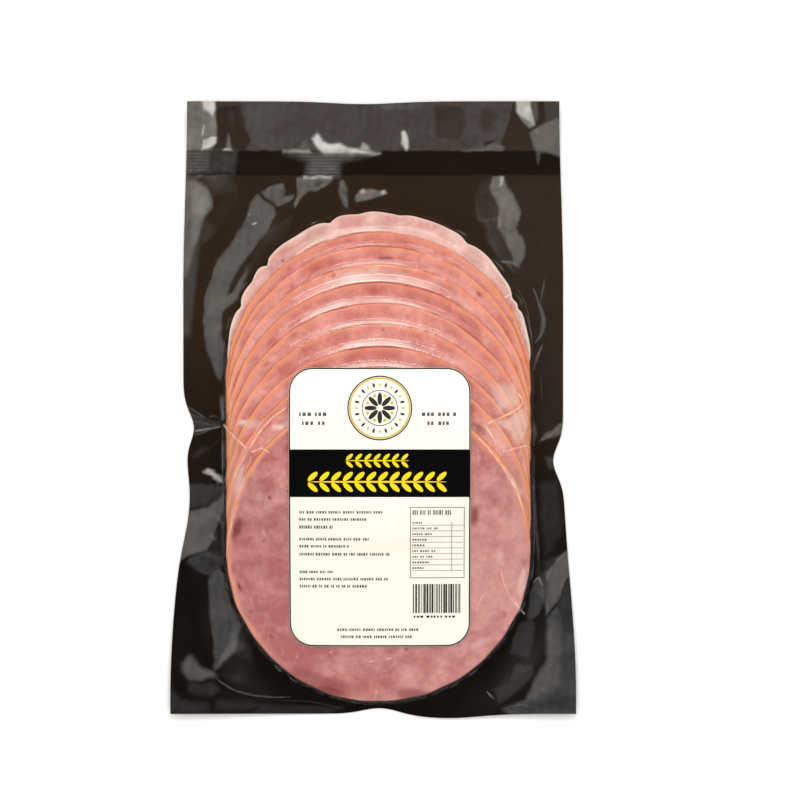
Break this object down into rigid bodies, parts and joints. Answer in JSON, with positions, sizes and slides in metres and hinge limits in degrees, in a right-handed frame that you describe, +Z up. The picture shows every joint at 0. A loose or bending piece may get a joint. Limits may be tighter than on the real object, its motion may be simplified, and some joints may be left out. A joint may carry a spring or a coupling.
{
  "type": "pack of smoked ham",
  "caption": "Flat vacuum pack of round smoked ham slices laid in a shingled row, with a black back web, a clear front film drawn tight over the meat and a plain sticker.",
  "frame": {"origin": "on the surface that the pack lies on, under the middle of its bounding box", "axes": "+X across the pack, +Y along it from the bottom hem to the header, +Z up out of the shown front"},
  "size_m": [0.1644, 0.25, 0.0219],
  "materials": {
    "black_film": "gloss",
    "sealed_ham": "gloss",
    "label_stock": "satin",
    "clear_film": "gloss",
    "label_ink": "satin"
  },
  "bodies": {
    "root": {"back_film": "black_film", "sealed_ham": "sealed_ham", "label": "label_stock"}
  },
  "joints": []
}
